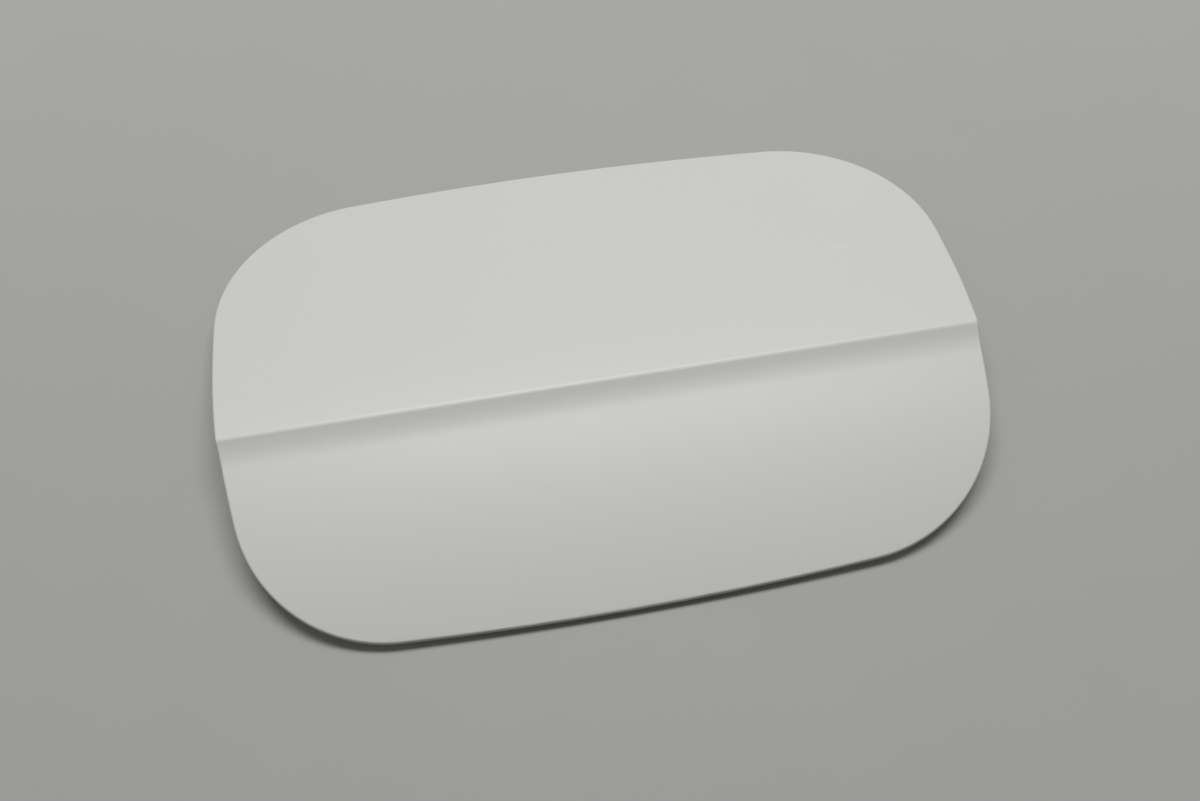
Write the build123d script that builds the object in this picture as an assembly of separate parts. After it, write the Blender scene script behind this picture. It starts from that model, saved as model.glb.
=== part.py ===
from build123d import *
import os
from functools import cache
from math import asin, cos, degrees, pi, radians, sin, tan

# Fuel door of a car, lying face up as it comes to rest on a flat surface.
# X runs along the crease, Y up the door towards its top edge, Z out of the painted face.
# The origin is under the middle of the door, at the height of the surface it lies on.

# Outline of the door, seen from outside with the hinge end on the left
crease_length = 185.5
shoulder_length = 184.5
foot_length = 168.2
upper_height = 75.45
lower_height = 52.95
top_bow = 5.8
bottom_bow = 3.8
top_lean = 0.8
bottom_lean = 0.4
upper_hinge_corner_radius = 38.3
upper_latch_corner_radius = 39.8
lower_hinge_corner_radius = 36.5
lower_latch_corner_radius = 39.5

# Section across the crease: slopes are degrees of fall away from the crease
edge_height = 2.4
crease_radius = 2.6
lead_run = 16.0
cove_run = 7.0
upper_slope_at_crease = 5.0
upper_slope_at_lead_end = 9.5
upper_slope_at_edge = 10.1
lower_slope_at_crease = 29.0
lower_slope_at_cove_end = 8.1
lower_slope_at_edge = 16.0

# Painted skin
skin_wall = 1.0
skin_edge_round = 0.65

# Moulded carrier bonded behind the skin
bond_line = 0.2
carrier_wall = 1.6
carrier_inset = 9.0
rib_depth = 2.6
rib_wall = 1.4
cross_rib_count = 4
cross_rib_pitch = 28.0
cross_rib_top_gap = 29.0
cross_rib_bottom_gap = 20.0
long_rib_offset = 22.0

# Hinge at the left end, with its pin along Y
pin_radius = 1.5
pin_ear_clearance = 0.03
pin_knuckle_clearance = 0.08
hinge_edge_gap = 3.5
knuckle_radius = 3.2
knuckle_clearance = 0.5
hinge_offset = 12.0
ear_length = 6.0
knuckle_length = 7.0
hinge_end_play = 0.3
arm_length = 16.0
arm_wall = 4.0
notch_margin = 2.0
bracket_wall = 2.0
bracket_reach = 30.0
bracket_corner_radius = 4.0
bracket_hole_radius = 2.75
bracket_hole_spacing = 24.0
bracket_hole_setback = 20.0
pin_head_radius = 2.6
pin_head_length = 1.2
pin_tail_length = 1.8
groove_depth = 0.5
clip_wall = 0.6
clip_radius = 3.0
clip_mouth = 2.0

# Torsion spring on the pin, between the two knuckles
spring_wire_radius = 0.4
spring_pin_gap = 0.2
spring_whole_turns = 7
spring_space = 13.0
spring_leg = 12.0
spring_seat_gap = 0.1

# Latch striker at the right end
striker_edge_gap = 20.0
striker_offset = 5.0
striker_wire_radius = 1.25
striker_inner_width = 11.5
striker_seat_depth = 6.2
striker_floor_gap = 0.3
striker_plate_wall = 1.0
striker_plate_length = 23.0
striker_plate_width = 20.0
striker_plate_corner = 3.0
striker_screw_x = 7.5
striker_screw_y = 6.0
screw_radius = 1.5
screw_length = 3.2
screw_head_radius = 2.7
screw_head_height = 1.5
screw_head_chamfer = 0.4
screw_socket_radius = 1.0
screw_socket_depth = 0.8
screw_clearance = 0.1

# Rubber bumpers the closed door rests on
bumper_radius = 4.2
bumper_foot_chamfer = 0.8
bumper_stem_radius = 2.2
bumper_stem_clearance = 0.1
bumper_seat_gap = 0.05
bumper_end_gap = 35.0
bumper_top_gap = 26.0
bumper_bottom_gap = 19.0

# Values worked out from the sizes above
hinge_side = -1
latch_side = 1
crease_y = (lower_height - upper_height) / 2
section_margin = 30.0
section_length = shoulder_length + 2 * section_margin
carrier_top = skin_wall + bond_line
carrier_underside = carrier_top + carrier_wall
spring_coil_radius = pin_radius + spring_pin_gap + spring_wire_radius
spring_seat = spring_coil_radius + spring_wire_radius + spring_seat_gap
hinge_axis_height = bracket_wall + spring_seat


def fall(run, slope_from, slope_to):
    """Drop of an arc that runs this far while its slope changes between two values."""
    radius = run / (sin(radians(slope_to)) - sin(radians(slope_from)))
    return radius * (cos(radians(slope_from)) - cos(radians(slope_to)))


# Stretches of the outer surface on each side of the crease: run, first slope, last slope
upper_stretches = [
    (lead_run, upper_slope_at_crease, upper_slope_at_lead_end),
    (upper_height - lead_run, upper_slope_at_lead_end, upper_slope_at_edge),
]
lower_stretches = [
    (cove_run, lower_slope_at_crease, lower_slope_at_cove_end),
    (lower_height - cove_run, lower_slope_at_cove_end, lower_slope_at_edge),
]
crease_height = edge_height + sum(fall(*stretch) for stretch in lower_stretches)


def carried_on(run, slope_from, slope_to):
    """A stretch of the same arc that runs on well past the door's edge."""
    longer = run + section_margin
    sine_from = sin(radians(slope_from))
    sine_to = sine_from + (sin(radians(slope_to)) - sine_from) * longer / run
    return longer, slope_from, degrees(asin(sine_to))


def side_points(stretches, side, depth):
    """Points from the crease to side +1 or -1, this deep under the outer surface: two for each stretch."""
    y = crease_y
    z = crease_height
    first = radians(stretches[0][1])
    points = [(y - side * depth * sin(first), z - depth * cos(first))]
    for run, slope_from, slope_to in stretches[:-1] + [carried_on(*stretches[-1])]:
        start = radians(slope_from)
        radius = run / (sin(radians(slope_to)) - sin(start))
        for slope in (radians(slope_from + slope_to) / 2, radians(slope_to)):
            along = radius * (sin(slope) - sin(start))
            down = radius * (cos(start) - cos(slope))
            points.append((y + side * (along - depth * sin(slope)), z - down - depth * cos(slope)))
        y += side * along
        z -= down
    return points


def side_face(stretches, side, depth):
    """Everything this deep below one side of the outer surface, which runs straight on past the crease."""
    points = side_points(stretches, side, depth)
    edges = [ThreePointArc(*points[i:i + 3]) for i in range(0, len(points) - 2, 2)]
    over = upper_height + lower_height
    past = (points[0][0] - side * over, points[0][1] + over * tan(radians(stretches[0][1])))
    low = -2 * section_margin
    around = [points[-1], (points[-1][0], low), (past[0], low), past, points[0]]
    edges += [Line(around[i], around[i + 1]) for i in range(len(around) - 1)]
    return make_face(Wire(edges))


@cache
def below(depth):
    """The space more than this depth under the outer surface, along the whole door."""
    face = side_face(upper_stretches, 1, depth) & side_face(lower_stretches, -1, depth)
    if depth == 0:
        crease = face.vertices().sort_by_distance((crease_y, crease_height, 0))[0]
        face = fillet(crease, crease_radius)
    return extrude(Plane.YZ * face, amount=section_length / 2, both=True)


def moved_in(arc, inset):
    """An arc about the same centre, moved by the inset towards the middle of the door."""
    centre = arc.arc_center
    crown = arc @ 0.5
    bowed_out = (crown - centre).dot(crown) > 0
    radius = arc.radius - inset if bowed_out else arc.radius + inset
    return ThreePointArc(*[centre + (arc @ at - centre) * (radius / arc.radius) for at in (0, 0.5, 1)])


def outline_face(inset):
    """Outline of the door on XY, moved inwards by the inset.

    Four bowed edges: each end's edge runs from a shoulder through the end of the crease to a foot.
    The hinge end is a little taller, so its shoulder and foot lean outwards.
    """
    top_y = crease_y + upper_height
    bottom_y = crease_y - lower_height
    crease_ends = {side: (side * crease_length / 2, crease_y) for side in (hinge_side, latch_side)}
    shoulders = {
        side: (side * shoulder_length / 2, top_y - top_bow - side * top_lean)
        for side in (hinge_side, latch_side)
    }
    feet = {
        side: (side * foot_length / 2, bottom_y + bottom_bow + side * bottom_lean)
        for side in (hinge_side, latch_side)
    }
    edges = [
        ThreePointArc(shoulders[latch_side], (0, top_y), shoulders[hinge_side]),
        ThreePointArc(shoulders[hinge_side], crease_ends[hinge_side], feet[hinge_side]),
        ThreePointArc(feet[hinge_side], (0, bottom_y), feet[latch_side]),
        ThreePointArc(feet[latch_side], crease_ends[latch_side], shoulders[latch_side]),
    ]
    face = make_face(Wire(edges))
    for corner, radius in (
        (shoulders[hinge_side], upper_hinge_corner_radius),
        (shoulders[latch_side], upper_latch_corner_radius),
        (feet[hinge_side], lower_hinge_corner_radius),
        (feet[latch_side], lower_latch_corner_radius),
    ):
        vertex = face.vertices().sort_by_distance((*corner, 0))[0]
        face = fillet(vertex, radius)
    if inset > 0:
        face = make_face(Wire([moved_in(edge, inset) for edge in face.wire().order_edges()]))
    return face


def column(face):
    """A plan face drawn out through the whole height of the door."""
    return extrude(face, amount=2 * crease_height, both=True)


def block(x_low, x_high, y_low, y_high, z_low, z_high):
    size = (x_high - x_low, y_high - y_low, z_high - z_low)
    middle = ((x_low + x_high) / 2, (y_low + y_high) / 2, (z_low + z_high) / 2)
    return Pos(*middle) * Box(*size)


def upright(x, y, radius, z_low, z_high):
    return Pos(x, y, (z_low + z_high) / 2) * Cylinder(radius, z_high - z_low)


def rod(x, z, radius, y_low, y_high):
    """A round bar along Y."""
    length = y_high - y_low
    return Pos(x, (y_low + y_high) / 2, z) * Rot(90, 0, 0) * Cylinder(radius, length)


# Places along the hinge, from its lower end to its upper end
hinge_x = hinge_edge_gap - crease_length / 2
hinge_y = crease_y + hinge_offset
hinge_length = 2 * (ear_length + knuckle_length) + spring_space + 4 * hinge_end_play
hinge_low = hinge_y - hinge_length / 2
hinge_high = hinge_y + hinge_length / 2
lower_ear = (hinge_low, hinge_low + ear_length)
upper_ear = (hinge_high - ear_length, hinge_high)
lower_knuckle = (lower_ear[1] + hinge_end_play, lower_ear[1] + hinge_end_play + knuckle_length)
upper_knuckle = (upper_ear[0] - hinge_end_play - knuckle_length, upper_ear[0] - hinge_end_play)

# Places of the striker and the bumpers
striker_x = crease_length / 2 - striker_edge_gap
striker_y = crease_y + striker_offset
striker_bar_height = striker_floor_gap + striker_wire_radius
striker_seat_height = crease_height - striker_seat_depth
striker_plate_underside = striker_seat_height - striker_plate_wall
striker_screw_places = [
    (striker_x - striker_screw_x, striker_y + striker_screw_y),
    (striker_x + striker_screw_x, striker_y - striker_screw_y),
]
bumper_x = crease_length / 2 - bumper_end_gap
bumper_high = crease_y + upper_height - bumper_top_gap
bumper_low = crease_y - lower_height + bumper_bottom_gap
bumper_places = {
    "bumper_hinge_upper": (-bumper_x, bumper_high),
    "bumper_hinge_lower": (-bumper_x, bumper_low),
    "bumper_latch_upper": (bumper_x, bumper_high),
    "bumper_latch_lower": (bumper_x, bumper_low),
}


def outer_skin():
    """Painted panel of even wall, with its outer edge rounded all the way round."""
    skin = (below(0) - below(skin_wall)) & column(outline_face(0))
    outer_faces = skin.faces().filter_by(lambda face: face.normal_at().Z > 0.5)
    side_faces = skin.faces().filter_by(lambda face: abs(face.normal_at().Z) < 0.1)
    side_edges = side_faces.edges()
    rim = [
        edge for edge in outer_faces.edges()
        if any(edge.is_same(other) for other in side_edges)
    ]
    return fillet(rim, skin_edge_round)


def carrier_ribs():
    """Ribs that follow the underside of the carrier."""
    layer = below(carrier_top + carrier_wall / 2) - below(carrier_underside + rib_depth)
    plan = []
    rib_low = crease_y - lower_height + cross_rib_bottom_gap
    rib_high = crease_y + upper_height - cross_rib_top_gap
    first_x = -cross_rib_pitch * (cross_rib_count - 1) / 2
    last_x = -first_x
    for index in range(cross_rib_count):
        x = first_x + index * cross_rib_pitch
        plan.append(block(x - rib_wall / 2, x + rib_wall / 2, rib_low, rib_high, 0, crease_height))
    for y in (crease_y + long_rib_offset, crease_y - long_rib_offset):
        plan.append(block(first_x, last_x, y - rib_wall / 2, y + rib_wall / 2, 0, crease_height))
    return [layer & rib for rib in plan]


def hinge_arms():
    """Two knuckles on the pin, each on an arm up to the carrier, and the spring's rest between them."""
    top = hinge_axis_height + knuckle_radius
    inner_x = hinge_x + knuckle_radius + notch_margin
    outer_x = hinge_x + arm_length
    arms = []
    for y_low, y_high in (lower_knuckle, upper_knuckle):
        knuckle = rod(hinge_x, hinge_axis_height, knuckle_radius, y_low, y_high)
        shank = block(hinge_x, outer_x, y_low, y_high, top - arm_wall, top)
        root = block(inner_x, outer_x, y_low, y_high, top - arm_wall, crease_height)
        arms.append(knuckle + shank + (root & below(carrier_top)))
    rest = block(
        inner_x, outer_x, lower_knuckle[0], upper_knuckle[1],
        hinge_axis_height + spring_seat, crease_height,
    )
    arms.append(rest & below(carrier_top))
    return arms


def inner_carrier():
    """Moulded plate behind the skin, with its hinge knuckles, ribs and striker seat."""
    plate = (below(carrier_top) - below(carrier_underside)) & column(outline_face(carrier_inset))
    notch = block(
        -crease_length, hinge_x + knuckle_radius + notch_margin,
        hinge_low - notch_margin, hinge_high + notch_margin, 0, 2 * crease_height,
    )
    carrier = plate - notch
    for piece in hinge_arms() + carrier_ribs():
        carrier += piece
    seat = block(
        striker_x - striker_plate_length / 2, striker_x + striker_plate_length / 2,
        striker_y - striker_plate_width / 2, striker_y + striker_plate_width / 2,
        striker_seat_height, crease_height,
    )
    carrier += seat & below(carrier_top)
    carrier -= rod(
        hinge_x, hinge_axis_height, pin_radius + pin_knuckle_clearance, hinge_low, hinge_high
    )
    for x, y in bumper_places.values():
        carrier -= upright(x, y, bumper_stem_radius + bumper_stem_clearance, 0, 2 * crease_height)
    for x, y in striker_screw_places:
        top = striker_seat_height + screw_length - striker_plate_wall + screw_clearance
        carrier -= upright(x, y, screw_radius + screw_clearance, striker_seat_height, top)
    return carrier


def hinge_bracket():
    """Body side of the hinge: a flat plate with two ears for the pin and two bolt holes."""
    plate = block(
        hinge_x - knuckle_radius, hinge_x + bracket_reach, hinge_low, hinge_high, 0, bracket_wall
    )
    corners = plate.edges().filter_by(Axis.Z).sort_by(Axis.X)[-2:]
    bracket = fillet(corners, bracket_corner_radius)
    bracket -= block(
        hinge_x - knuckle_radius, hinge_x + knuckle_radius + knuckle_clearance,
        lower_ear[1], upper_ear[0], 0, bracket_wall,
    )
    for y_low, y_high in (lower_ear, upper_ear):
        bracket += rod(hinge_x, hinge_axis_height, knuckle_radius, y_low, y_high)
        bracket += block(
            hinge_x - knuckle_radius, hinge_x + knuckle_radius, y_low, y_high, 0, hinge_axis_height
        )
    bracket -= rod(hinge_x, hinge_axis_height, pin_radius + pin_ear_clearance, hinge_low, hinge_high)
    for side in (1, -1):
        bracket -= upright(
            hinge_x + bracket_hole_setback, hinge_y + side * bracket_hole_spacing / 2,
            bracket_hole_radius, 0, bracket_wall,
        )
    return bracket


# The pin's head bears on the upper ear and its clip on the lower one
groove_high = hinge_low
groove_low = groove_high - clip_wall
groove_radius = pin_radius - groove_depth


def hinge_pin():
    pin = rod(hinge_x, hinge_axis_height, pin_radius, hinge_low - pin_tail_length, hinge_high)
    head = rod(hinge_x, hinge_axis_height, pin_head_radius, hinge_high, hinge_high + pin_head_length)
    collar = rod(hinge_x, hinge_axis_height, pin_radius, groove_low, groove_high)
    core = rod(hinge_x, hinge_axis_height, groove_radius, groove_low, groove_high)
    return pin + head - (collar - core)


def pin_clip():
    """Open ring in the pin's groove, its mouth towards the middle of the door."""
    ring = rod(hinge_x, hinge_axis_height, clip_radius, groove_low, groove_high)
    ring -= rod(hinge_x, hinge_axis_height, groove_radius + pin_ear_clearance, groove_low, groove_high)
    mouth = block(
        hinge_x, hinge_x + 2 * clip_radius, groove_low, groove_high,
        hinge_axis_height - clip_mouth / 2, hinge_axis_height + clip_mouth / 2,
    )
    return ring - mouth


def hinge_spring():
    """Coil round the pin: one leg lies on the bracket, the other pushes up under the carrier.

    Each leg runs on in line with the wire, so it drifts along the pin as the coil does.
    """
    turns = spring_whole_turns + 0.5
    room_low = lower_knuckle[1] + hinge_end_play + spring_wire_radius
    room = upper_knuckle[0] - hinge_end_play - spring_wire_radius - room_low
    height = room / (1 + spring_leg / (turns * pi * spring_coil_radius))
    coil_low = room_low + (room - height) / 2
    coil = Helix(height / turns, height, spring_coil_radius)
    start_leg = Line(coil @ 0 - (coil % 0) * spring_leg, coil @ 0)
    end_leg = Line(coil @ 1, coil @ 1 + (coil % 1) * spring_leg)
    path = Wire([start_leg, coil.edge(), end_leg])
    tip = Plane(origin=path @ 0, z_dir=path % 0)
    wire = sweep(tip * Circle(spring_wire_radius), path=path)
    along_pin = Plane((hinge_x, coil_low, hinge_axis_height), x_dir=(0, 0, -1), z_dir=(0, 1, 0))
    return along_pin * wire


def latch_striker():
    """Steel plate with a wire loop under it that the latch on the body takes hold of."""
    plate = block(
        striker_x - striker_plate_length / 2, striker_x + striker_plate_length / 2,
        striker_y - striker_plate_width / 2, striker_y + striker_plate_width / 2,
        striker_plate_underside, striker_seat_height,
    )
    plate = fillet(plate.edges().filter_by(Axis.Z), striker_plate_corner)
    for x, y in striker_screw_places:
        plate -= upright(
            x, y, screw_radius + screw_clearance, striker_plate_underside, striker_seat_height
        )
    leg = striker_inner_width / 2 + striker_wire_radius
    bend = 2 * striker_wire_radius
    top = striker_plate_underside + striker_plate_wall / 2
    points = [
        (striker_x, striker_y - leg, top),
        (striker_x, striker_y - leg, striker_bar_height),
        (striker_x, striker_y + leg, striker_bar_height),
        (striker_x, striker_y + leg, top),
    ]
    path = FilletPolyline(*points, radius=bend)
    tip = Plane(origin=path @ 0, z_dir=path % 0)
    return plate + sweep(tip * Circle(striker_wire_radius), path=path)


def striker_screws():
    """Two screws with chamfered heads and hexagon sockets."""
    screws = []
    for x, y in striker_screw_places:
        top = striker_plate_underside + screw_length
        head_low = striker_plate_underside - screw_head_height
        head = upright(x, y, screw_head_radius, head_low, striker_plate_underside)
        head = chamfer(head.edges().sort_by(Axis.Z)[0], screw_head_chamfer)
        screw = head + upright(x, y, screw_radius, striker_plate_underside, top)
        socket = Pos(x, y, head_low) * RegularPolygon(screw_socket_radius, 6)
        screws.append(screw - extrude(socket, amount=screw_socket_depth))
    return Compound(children=screws)


def bumper(x, y):
    """Rubber foot with a stem pressed into the carrier."""
    head = upright(x, y, bumper_radius, 0, crease_height)
    head = chamfer(head.edges().sort_by(Axis.Z)[0], bumper_foot_chamfer)
    head = head & below(carrier_underside + bumper_seat_gap)
    stem = upright(x, y, bumper_stem_radius, edge_height / 2, crease_height) & below(carrier_top)
    return head + stem


nodes = {
    "outer_skin": outer_skin(),
    "inner_carrier": inner_carrier(),
    "hinge_bracket": hinge_bracket(),
    "hinge_pin": hinge_pin(),
    "pin_clip": pin_clip(),
    "hinge_spring": hinge_spring(),
    "latch_striker": latch_striker(),
    "striker_screws": striker_screws(),
}
for name, place in bumper_places.items():
    nodes[name] = bumper(*place)

os.makedirs("parts", exist_ok=True)
for name, shape in nodes.items():
    export_step(shape, f"parts/{name}.step")
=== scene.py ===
import math

import bmesh
import bpy
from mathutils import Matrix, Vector


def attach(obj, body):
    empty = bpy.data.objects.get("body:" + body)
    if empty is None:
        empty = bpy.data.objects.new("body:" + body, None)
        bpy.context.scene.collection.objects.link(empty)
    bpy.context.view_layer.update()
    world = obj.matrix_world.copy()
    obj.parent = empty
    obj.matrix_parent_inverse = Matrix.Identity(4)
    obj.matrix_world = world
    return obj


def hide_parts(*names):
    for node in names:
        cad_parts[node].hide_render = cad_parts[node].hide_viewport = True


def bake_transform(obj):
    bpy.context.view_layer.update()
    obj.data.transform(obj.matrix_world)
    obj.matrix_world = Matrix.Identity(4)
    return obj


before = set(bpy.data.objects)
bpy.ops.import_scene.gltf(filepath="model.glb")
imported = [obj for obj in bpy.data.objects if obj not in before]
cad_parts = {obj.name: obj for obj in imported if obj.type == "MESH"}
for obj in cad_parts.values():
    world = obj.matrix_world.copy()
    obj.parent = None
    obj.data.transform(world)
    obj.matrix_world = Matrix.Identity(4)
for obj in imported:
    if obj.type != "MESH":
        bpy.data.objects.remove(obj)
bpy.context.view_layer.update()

# Camera of the photograph, in metres and degrees
sensor_width_mm = 36.0
lens_mm = 33.0
nearest_seen = 0.01
view_azimuth = -10.24
view_elevation = 60.9
view_distance = 0.2768
view_target = Vector((-0.001499, -0.008535, -0.000349))

# In all finishes, lumps are counted to the metre, a span is the part of a pattern that is used,
# a facing is the upward part of the surface's direction, and depths are in metres

# Floor, in metres, which has faded into the backdrop at floor_fade from the door's middle
floor_radius = 4.0
floor_sides = 64
floor_colour = (0.36, 0.36, 0.355)
floor_mottle_share = 0.96
floor_mottled = tuple(floor_mottle_share * part for part in floor_colour)
floor_mottle_lumps = 40.0
floor_mottle_detail = 4.0
floor_roughness = 0.6
floor_fade = 0.7
backdrop_colour = (0.50, 0.50, 0.495)

# Light, in metres and watts: the share of its seen brightness that the backdrop sheds, and one lamp
sky_light = 0.255
key_place = Vector((0.050, 0.2925, 0.80))
key_size = (0.74, 0.25)
key_power = 6.5

# Paint on the skin, with primer inside
paint_colour = (0.62, 0.62, 0.605)
paint_shade = (0.605, 0.605, 0.59)
paint_shade_lumps = 18.0
paint_roughness = 0.43
paint_gloss_lumps = 30.0
paint_gloss_span = (0.3, 0.7)
paint_gloss_swing = 0.02
paint_ripple_lumps = 450.0
paint_ripple_depth = 0.000004
# Rim tint: warmer and a little darker where the surface turns over the rounded rim
rim_colour = (0.56, 0.535, 0.49)
rim_facing = (0.84, 0.7)
primer_colour = (0.40, 0.40, 0.395)
primer_facing = (0.0, -0.3)
overspray_lumps = 300.0
overspray_detail = 8.0
overspray_span = (0.15, 0.95)

# Faint scuff in the paint
scuff_colour = (0.70, 0.70, 0.69)
scuff_start = Vector((0.0645, 0.0198, 0.0100))
scuff_end = Vector((0.0688, 0.0197, 0.0100))
scuff_half_width = 0.0002
scuff_full_share = 0.6

# Shading of the skin: seams this close in metres are one, and edges that turn by more degrees are sharp
weld_distance = 0.000001
sharp_angle = 32.0

# Black moulding
moulding_colour = (0.030, 0.030, 0.032)
moulding_scuffed = (0.055, 0.055, 0.056)
moulding_scuff_lumps = 160.0
moulding_scuff_stretch = (1.0, 0.25, 1.0)
moulding_scuff_detail = 5.0
moulding_scuff_span = (0.56, 0.72)
moulding_roughness = 0.62
moulding_scuffed_roughness = 0.45
moulding_grain_lumps = 1800.0
moulding_grain_depth = 0.00003

# Zinc plating
zinc_colour = (0.62, 0.62, 0.59)
zinc_clouded = (0.52, 0.51, 0.45)
zinc_cloud_lumps = 140.0
zinc_cloud_detail = 4.0
zinc_cloud_span = (0.4, 0.65)
zinc_roughness = 0.30
zinc_clouded_roughness = 0.46
rolling_lumps = 3000.0
rolling_stretch = (0.05, 1.0, 1.0)
rolling_depth = 0.000006

# Bright steel
steel_colour = (0.66, 0.66, 0.66)
steel_line = (0.48, 0.48, 0.48)
steel_line_lumps = 4000.0
steel_line_stretch = (0.08, 1.0, 0.08)
steel_line_span = (0.45, 0.7)
steel_line_depth = 0.000005
steel_roughness = 0.28

# Spring wire
wire_colour = (0.40, 0.40, 0.41)
wire_dark = (0.24, 0.24, 0.25)
wire_wear_lumps = 900.0
wire_wear_detail = 4.0
wire_wear_span = (0.4, 0.65)
wire_roughness = 0.36
wire_grain_lumps = 3000.0
wire_grain_depth = 0.000006

# Rubber
rubber_colour = (0.030, 0.030, 0.030)
rubber_dusty = (0.050, 0.049, 0.047)
rubber_dust_lumps = 350.0
rubber_dust_detail = 5.0
rubber_dust_span = (0.5, 0.7)
rubber_roughness = 0.7
rubber_dusty_roughness = 0.9
rubber_grain_lumps = 2500.0
rubber_grain_depth = 0.00002


def make_camera():
    azimuth = math.radians(view_azimuth)
    elevation = math.radians(view_elevation)
    back = Vector((
        math.sin(azimuth) * math.cos(elevation),
        -math.cos(azimuth) * math.cos(elevation),
        math.sin(elevation),
    ))
    data = bpy.data.cameras.new("photo_camera")
    data.sensor_width = sensor_width_mm
    data.lens = lens_mm
    data.clip_start = nearest_seen
    camera = bpy.data.objects.new("photo_camera", data)
    camera.location = view_target + back * view_distance
    camera.rotation_euler = (-back).to_track_quat("-Z", "Y").to_euler()
    bpy.context.scene.collection.objects.link(camera)
    bpy.context.scene.camera = camera


def make_key_lamp():
    """One soft lamp overhead and behind the door, as the shading in the photograph shows."""
    data = bpy.data.lights.new("key_lamp", "AREA")
    data.shape = "RECTANGLE"
    data.size, data.size_y = key_size
    data.energy = key_power
    lamp = bpy.data.objects.new("key_lamp", data)
    lamp.location = key_place
    lamp.rotation_euler = (-key_place).to_track_quat("-Z", "Y").to_euler()
    lamp.visible_camera = False
    bpy.context.scene.collection.objects.link(lamp)


def add(tree, kind, inputs, **settings):
    """Adds a shader node. Each input is a value to set or a socket to link from."""
    node = tree.nodes.new(kind)
    for name, value in settings.items():
        setattr(node, name, value)
    for name, value in inputs.items():
        if isinstance(value, bpy.types.NodeSocket):
            tree.links.new(value, node.inputs[name])
        else:
            node.inputs[name].default_value = value
    return node


def add_math(tree, operation, *values):
    """The result of a calculation with numbers, each a value or a socket."""
    return add(tree, "ShaderNodeMath", dict(enumerate(values)), operation=operation).outputs[0]


def add_vector_math(tree, operation, *values, output=0):
    """The result of a calculation with vectors, each a value or a socket."""
    node = add(tree, "ShaderNodeVectorMath", dict(enumerate(values)), operation=operation)
    return node.outputs[output]


def seen(tree):
    """1 for a ray that shows the surface itself, straight, mirrored or through glass, else 0."""
    rays = add(tree, "ShaderNodeLightPath", {}).outputs
    found = rays["Is Camera Ray"]
    for name in ("Is Glossy Ray", "Is Transmission Ray"):
        found = add_math(tree, "MAXIMUM", found, rays[name])
    return found


def make_world():
    """Dim even light from all round, on a backdrop that looks pale."""
    world = bpy.data.worlds.new("studio")
    world.use_nodes = True
    tree = world.node_tree
    background = tree.nodes["Background"]
    background.inputs["Color"].default_value = (*backdrop_colour, 1.0)
    tree.links.new(ramp(tree, seen(tree), (0.0, 1.0), sky_light, 1.0), background.inputs["Strength"])
    bpy.context.scene.world = world


def new_material(name, roughness, metallic=0.0):
    """A material with a Principled shader, returned with its node tree and shader."""
    material = bpy.data.materials.new(name)
    material.use_nodes = True
    tree = material.node_tree
    shader = tree.nodes["Principled BSDF"]
    shader.inputs["Roughness"].default_value = roughness
    shader.inputs["Metallic"].default_value = metallic
    return material, tree, shader


def coordinates(tree):
    return add(tree, "ShaderNodeTexCoord", {})


def noise(tree, vector, lumps, detail=2.0):
    """Soft noise with about this many lumps to the metre."""
    made = add(tree, "ShaderNodeTexNoise", {"Vector": vector, "Scale": lumps, "Detail": detail})
    return made.outputs["Fac"]


def stretched(tree, vector, factors):
    """The coordinates scaled along each axis: a small factor draws the pattern out along that axis."""
    return add(tree, "ShaderNodeMapping", {"Vector": vector, "Scale": factors}).outputs["Vector"]


def ramp(tree, value, span, start=0.0, end=1.0, curve="LINEAR"):
    """The value carried from its span onto the numbers from start to end, and held there."""
    low, high = span
    made = add(
        tree, "ShaderNodeMapRange",
        {"Value": value, "From Min": low, "From Max": high, "To Min": start, "To Max": end},
        interpolation_type=curve,
    )
    return made.outputs["Result"]


def mix(tree, factor, first, second):
    """A colour between two colours, each a value or a socket."""
    node = add(tree, "ShaderNodeMix", {}, data_type="RGBA")
    for socket, value in ((node.inputs[0], factor), (node.inputs[6], first), (node.inputs[7], second)):
        if isinstance(value, bpy.types.NodeSocket):
            tree.links.new(value, socket)
        else:
            socket.default_value = (*value, 1.0)
    return node.outputs[2]


def bump(tree, shader, height, depth):
    """Raises the surface by the height pattern, this many metres deep."""
    node = add(tree, "ShaderNodeBump", {"Height": height, "Distance": depth, "Strength": 1.0})
    tree.links.new(node.outputs["Normal"], shader.inputs["Normal"])


def near_line(tree, place, start, end, half_width, full_share):
    """1 on a thin straight line, falling to 0 at its sides and, past its full share, to its ends."""
    middle = (start + end) / 2
    along = (end - start).normalized()
    reach = (end - start).length / 2
    offset = add_vector_math(tree, "SUBTRACT", place, middle)
    run = add_math(tree, "ABSOLUTE", add_vector_math(tree, "DOT_PRODUCT", offset, along, output="Value"))
    across = add_vector_math(tree, "CROSS_PRODUCT", offset, along)
    away = add_vector_math(tree, "LENGTH", across, output="Value")
    inside = ramp(tree, run, (reach, full_share * reach))
    thin = ramp(tree, away, (half_width, 0.0))
    return add_math(tree, "MULTIPLY", inside, thin)


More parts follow.
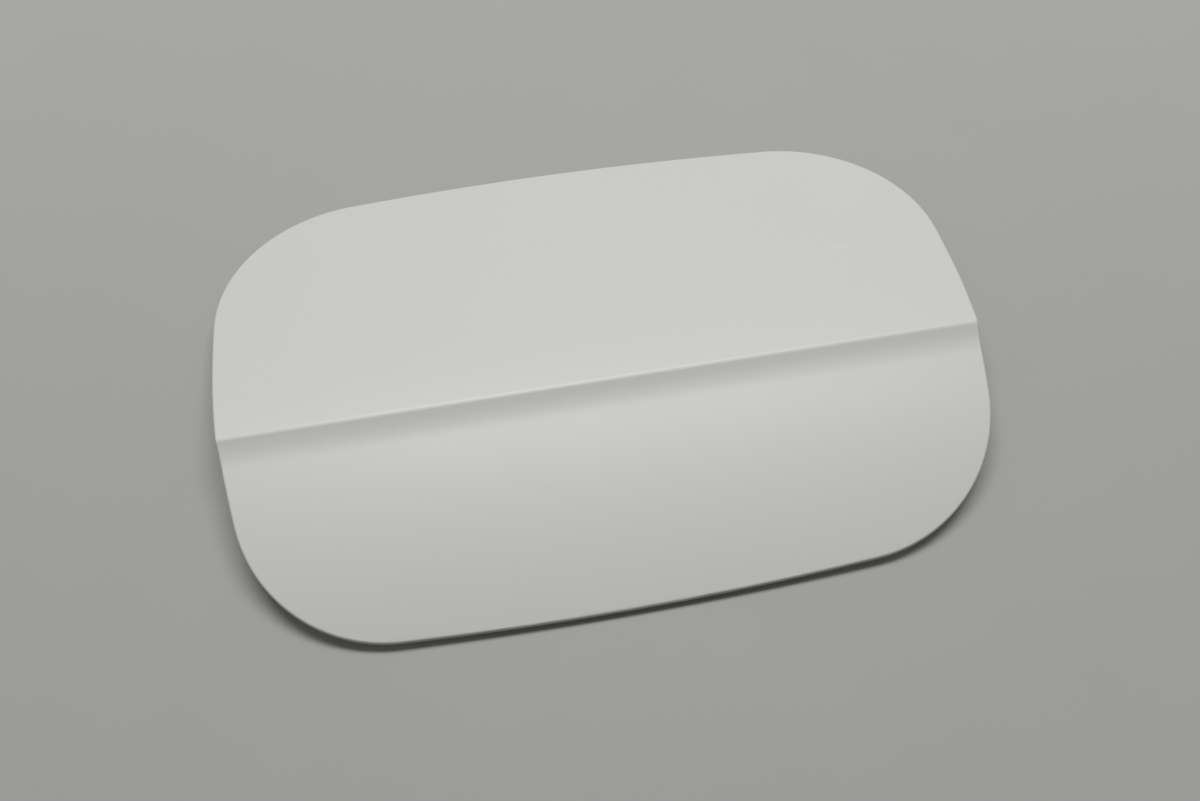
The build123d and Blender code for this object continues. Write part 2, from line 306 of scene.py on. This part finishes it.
def white_paint():
    """Satin paint: even outside, warmer and a little darker on the rounded rim, primer with overspray
    inside.
    """
    material, tree, shader = new_material("white_paint", paint_roughness)
    texture = coordinates(tree)
    place = texture.outputs["Object"]
    facing = add(tree, "ShaderNodeSeparateXYZ", {"Vector": texture.outputs["Normal"]}).outputs["Z"]
    colour = mix(tree, noise(tree, place, paint_shade_lumps), paint_colour, paint_shade)
    scuff = near_line(tree, place, scuff_start, scuff_end, scuff_half_width, scuff_full_share)
    colour = mix(tree, scuff, colour, scuff_colour)
    colour = mix(tree, ramp(tree, facing, rim_facing), colour, rim_colour)
    overspray = ramp(tree, noise(tree, place, overspray_lumps, overspray_detail), overspray_span)
    inside = mix(tree, overspray, primer_colour, paint_shade)
    colour = mix(tree, ramp(tree, facing, primer_facing), colour, inside)
    tree.links.new(colour, shader.inputs["Base Color"])
    gloss = ramp(
        tree, noise(tree, place, paint_gloss_lumps), paint_gloss_span,
        paint_roughness - paint_gloss_swing, paint_roughness + paint_gloss_swing,
    )
    tree.links.new(gloss, shader.inputs["Roughness"])
    bump(tree, shader, noise(tree, place, paint_ripple_lumps), paint_ripple_depth)
    return material


def black_moulding():
    """Fine moulded grain with paler scuffs."""
    material, tree, shader = new_material("black_moulding", moulding_roughness)
    place = coordinates(tree).outputs["Object"]
    smears = stretched(tree, place, moulding_scuff_stretch)
    pattern = noise(tree, smears, moulding_scuff_lumps, moulding_scuff_detail)
    scuffs = ramp(tree, pattern, moulding_scuff_span)
    tree.links.new(mix(tree, scuffs, moulding_colour, moulding_scuffed), shader.inputs["Base Color"])
    gloss = ramp(tree, scuffs, (0.0, 1.0), moulding_roughness, moulding_scuffed_roughness)
    tree.links.new(gloss, shader.inputs["Roughness"])
    bump(tree, shader, noise(tree, place, moulding_grain_lumps), moulding_grain_depth)
    return material


def plated_steel():
    """Zinc plating, clouded in patches, over faint rolling lines."""
    material, tree, shader = new_material("plated_steel", zinc_roughness, 1.0)
    place = coordinates(tree).outputs["Object"]
    clouds = ramp(tree, noise(tree, place, zinc_cloud_lumps, zinc_cloud_detail), zinc_cloud_span)
    tree.links.new(mix(tree, clouds, zinc_colour, zinc_clouded), shader.inputs["Base Color"])
    gloss = ramp(tree, clouds, (0.0, 1.0), zinc_roughness, zinc_clouded_roughness)
    tree.links.new(gloss, shader.inputs["Roughness"])
    lines = noise(tree, stretched(tree, place, rolling_stretch), rolling_lumps)
    bump(tree, shader, lines, rolling_depth)
    return material


def bright_steel():
    """Turned and drawn steel, with fine lines square to Y, so that they run round the hinge pin."""
    material, tree, shader = new_material("bright_steel", steel_roughness, 1.0)
    place = coordinates(tree).outputs["Object"]
    lines = noise(tree, stretched(tree, place, steel_line_stretch), steel_line_lumps)
    colour = mix(tree, ramp(tree, lines, steel_line_span), steel_colour, steel_line)
    tree.links.new(colour, shader.inputs["Base Color"])
    bump(tree, shader, lines, steel_line_depth)
    return material


def spring_steel():
    """Dark drawn wire with worn, brighter patches."""
    material, tree, shader = new_material("spring_steel", wire_roughness, 1.0)
    place = coordinates(tree).outputs["Object"]
    worn = ramp(tree, noise(tree, place, wire_wear_lumps, wire_wear_detail), wire_wear_span)
    tree.links.new(mix(tree, worn, wire_dark, wire_colour), shader.inputs["Base Color"])
    bump(tree, shader, noise(tree, place, wire_grain_lumps), wire_grain_depth)
    return material


def bumper_rubber():
    """Matt rubber with a little dust."""
    material, tree, shader = new_material("bumper_rubber", rubber_roughness)
    place = coordinates(tree).outputs["Object"]
    dust = ramp(tree, noise(tree, place, rubber_dust_lumps, rubber_dust_detail), rubber_dust_span)
    tree.links.new(mix(tree, dust, rubber_colour, rubber_dusty), shader.inputs["Base Color"])
    gloss = ramp(tree, dust, (0.0, 1.0), rubber_roughness, rubber_dusty_roughness)
    tree.links.new(gloss, shader.inputs["Roughness"])
    bump(tree, shader, noise(tree, place, rubber_grain_lumps), rubber_grain_depth)
    return material


def floor_finish():
    """A plain pale surface with a very faint mottle, which fades into the backdrop far from the door."""
    material, tree, shader = new_material("floor", floor_roughness)
    place = coordinates(tree).outputs["Object"]
    mottle = noise(tree, place, floor_mottle_lumps, floor_mottle_detail)
    tree.links.new(mix(tree, mottle, floor_colour, floor_mottled), shader.inputs["Base Color"])
    away = add_vector_math(tree, "LENGTH", place, output="Value")
    far = ramp(tree, away, (0.0, floor_fade), curve="SMOOTHSTEP")
    backdrop = add(tree, "ShaderNodeEmission", {"Color": (*backdrop_colour, 1.0)})
    surface = add(
        tree, "ShaderNodeMixShader",
        {
            0: add_math(tree, "MULTIPLY", far, seen(tree)),
            1: shader.outputs["BSDF"],
            2: backdrop.outputs["Emission"],
        },
    )
    tree.links.new(surface.outputs["Shader"], tree.nodes["Material Output"].inputs["Surface"])
    return material


def make_floor():
    turns = [2 * math.pi * side / floor_sides for side in range(floor_sides)]
    rim = [(floor_radius * math.cos(turn), floor_radius * math.sin(turn), 0) for turn in turns]
    mesh = bpy.data.meshes.new("floor")
    mesh.from_pydata(rim, [], [range(floor_sides)])
    mesh.materials.append(floor_finish())
    floor = bpy.data.objects.new("floor", mesh)
    bpy.context.scene.collection.objects.link(floor)


def dress(material, *names):
    """Gives CAD nodes their finish."""
    for name in names:
        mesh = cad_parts[name].data
        mesh.materials.clear()
        mesh.materials.append(material)


def copy_of(node, name, material):
    """A new piece with a copy of a CAD node's mesh, in this finish."""
    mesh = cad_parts[node].data.copy()
    mesh.name = name
    mesh.materials.clear()
    mesh.materials.append(material)
    piece = bpy.data.objects.new(name, mesh)
    bpy.context.scene.collection.objects.link(piece)
    return piece


def make_skin(material):
    """The painted skin with its seams welded, so that its shading runs on from face to face."""
    skin = copy_of("outer_skin", "painted_skin", material)
    mesh = skin.data
    mesh.attributes.remove(mesh.attributes["custom_normal"])
    work = bmesh.new()
    work.from_mesh(mesh)
    bmesh.ops.remove_doubles(work, verts=work.verts, dist=weld_distance)
    for face in work.faces:
        face.smooth = True
    for edge in work.edges:
        edge.smooth = edge.calc_face_angle(math.pi) < math.radians(sharp_angle)
    work.to_mesh(mesh)
    work.free()
    weighted = skin.modifiers.new("even_shading", "WEIGHTED_NORMAL")
    weighted.keep_sharp = True
    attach(skin, "door")
    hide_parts("outer_skin")


def make_spring(material):
    """The hinge spring as one piece that winds between the bracket and the door."""
    spring = copy_of("hinge_spring", "wound_spring", material)
    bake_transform(spring)
    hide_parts("hinge_spring")


make_floor()
make_camera()
make_key_lamp()
make_world()
make_skin(white_paint())
dress(black_moulding(), "inner_carrier")
dress(plated_steel(), "hinge_bracket", "latch_striker")
dress(bright_steel(), "hinge_pin", "pin_clip", "striker_screws")
dress(
    bumper_rubber(),
    "bumper_hinge_upper", "bumper_hinge_lower", "bumper_latch_upper", "bumper_latch_lower",
)
make_spring(spring_steel())
bpy.context.scene.view_settings.view_transform = "Standard"
